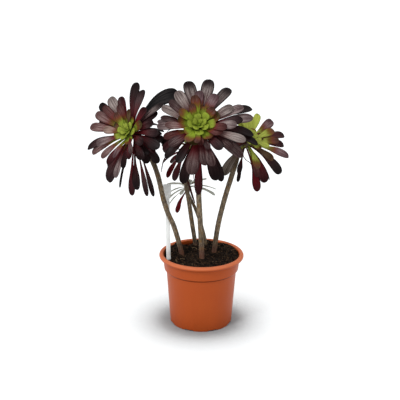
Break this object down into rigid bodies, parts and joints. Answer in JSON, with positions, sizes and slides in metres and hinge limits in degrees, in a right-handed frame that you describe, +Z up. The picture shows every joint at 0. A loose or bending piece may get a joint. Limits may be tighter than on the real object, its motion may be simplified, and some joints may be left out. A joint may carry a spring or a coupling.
{
  "type": "potted aeonium",
  "caption": "Tree aeonium with bare stems and dark spoon-leaved rosettes with green hearts, standing in a round terracotta-coloured plastic nursery pot of soil.",
  "frame": {"origin": "centre of the pot's underside, on the surface the pot stands on", "axes": "+Z up along the pot's axis; -Y towards the side that the rosettes face; +X to that side's right"},
  "size_m": [0.3982, 0.2074, 0.4975],
  "materials": {
    "pot_plastic": "satin moulded plastic in a terracotta colour",
    "potting_soil": "loose damp peat, nearly black, with pale fibres",
    "label_plastic": "blank white plastic",
    "stem_bark": "dull brown-grey bark with leaf scars",
    "leaf": "waxy satin, green at the heart through purple to near black",
    "pale_leaf": "waxy satin, pale grey-green with dark tips"
  },
  "bodies": {
    "root": {"pot": "pot_plastic", "soil": "potting_soil", "plant_label": "label_plastic", "stem_left": "stem_bark", "stem_back": "stem_bark", "stem_centre": "stem_bark", "stem_small": "stem_bark", "stem_right": "stem_bark", "rosette_left": "leaf", "rosette_back": "leaf", "rosette_centre": "leaf", "rosette_small": "pale_leaf", "rosette_right": "leaf"}
  },
  "joints": []
}
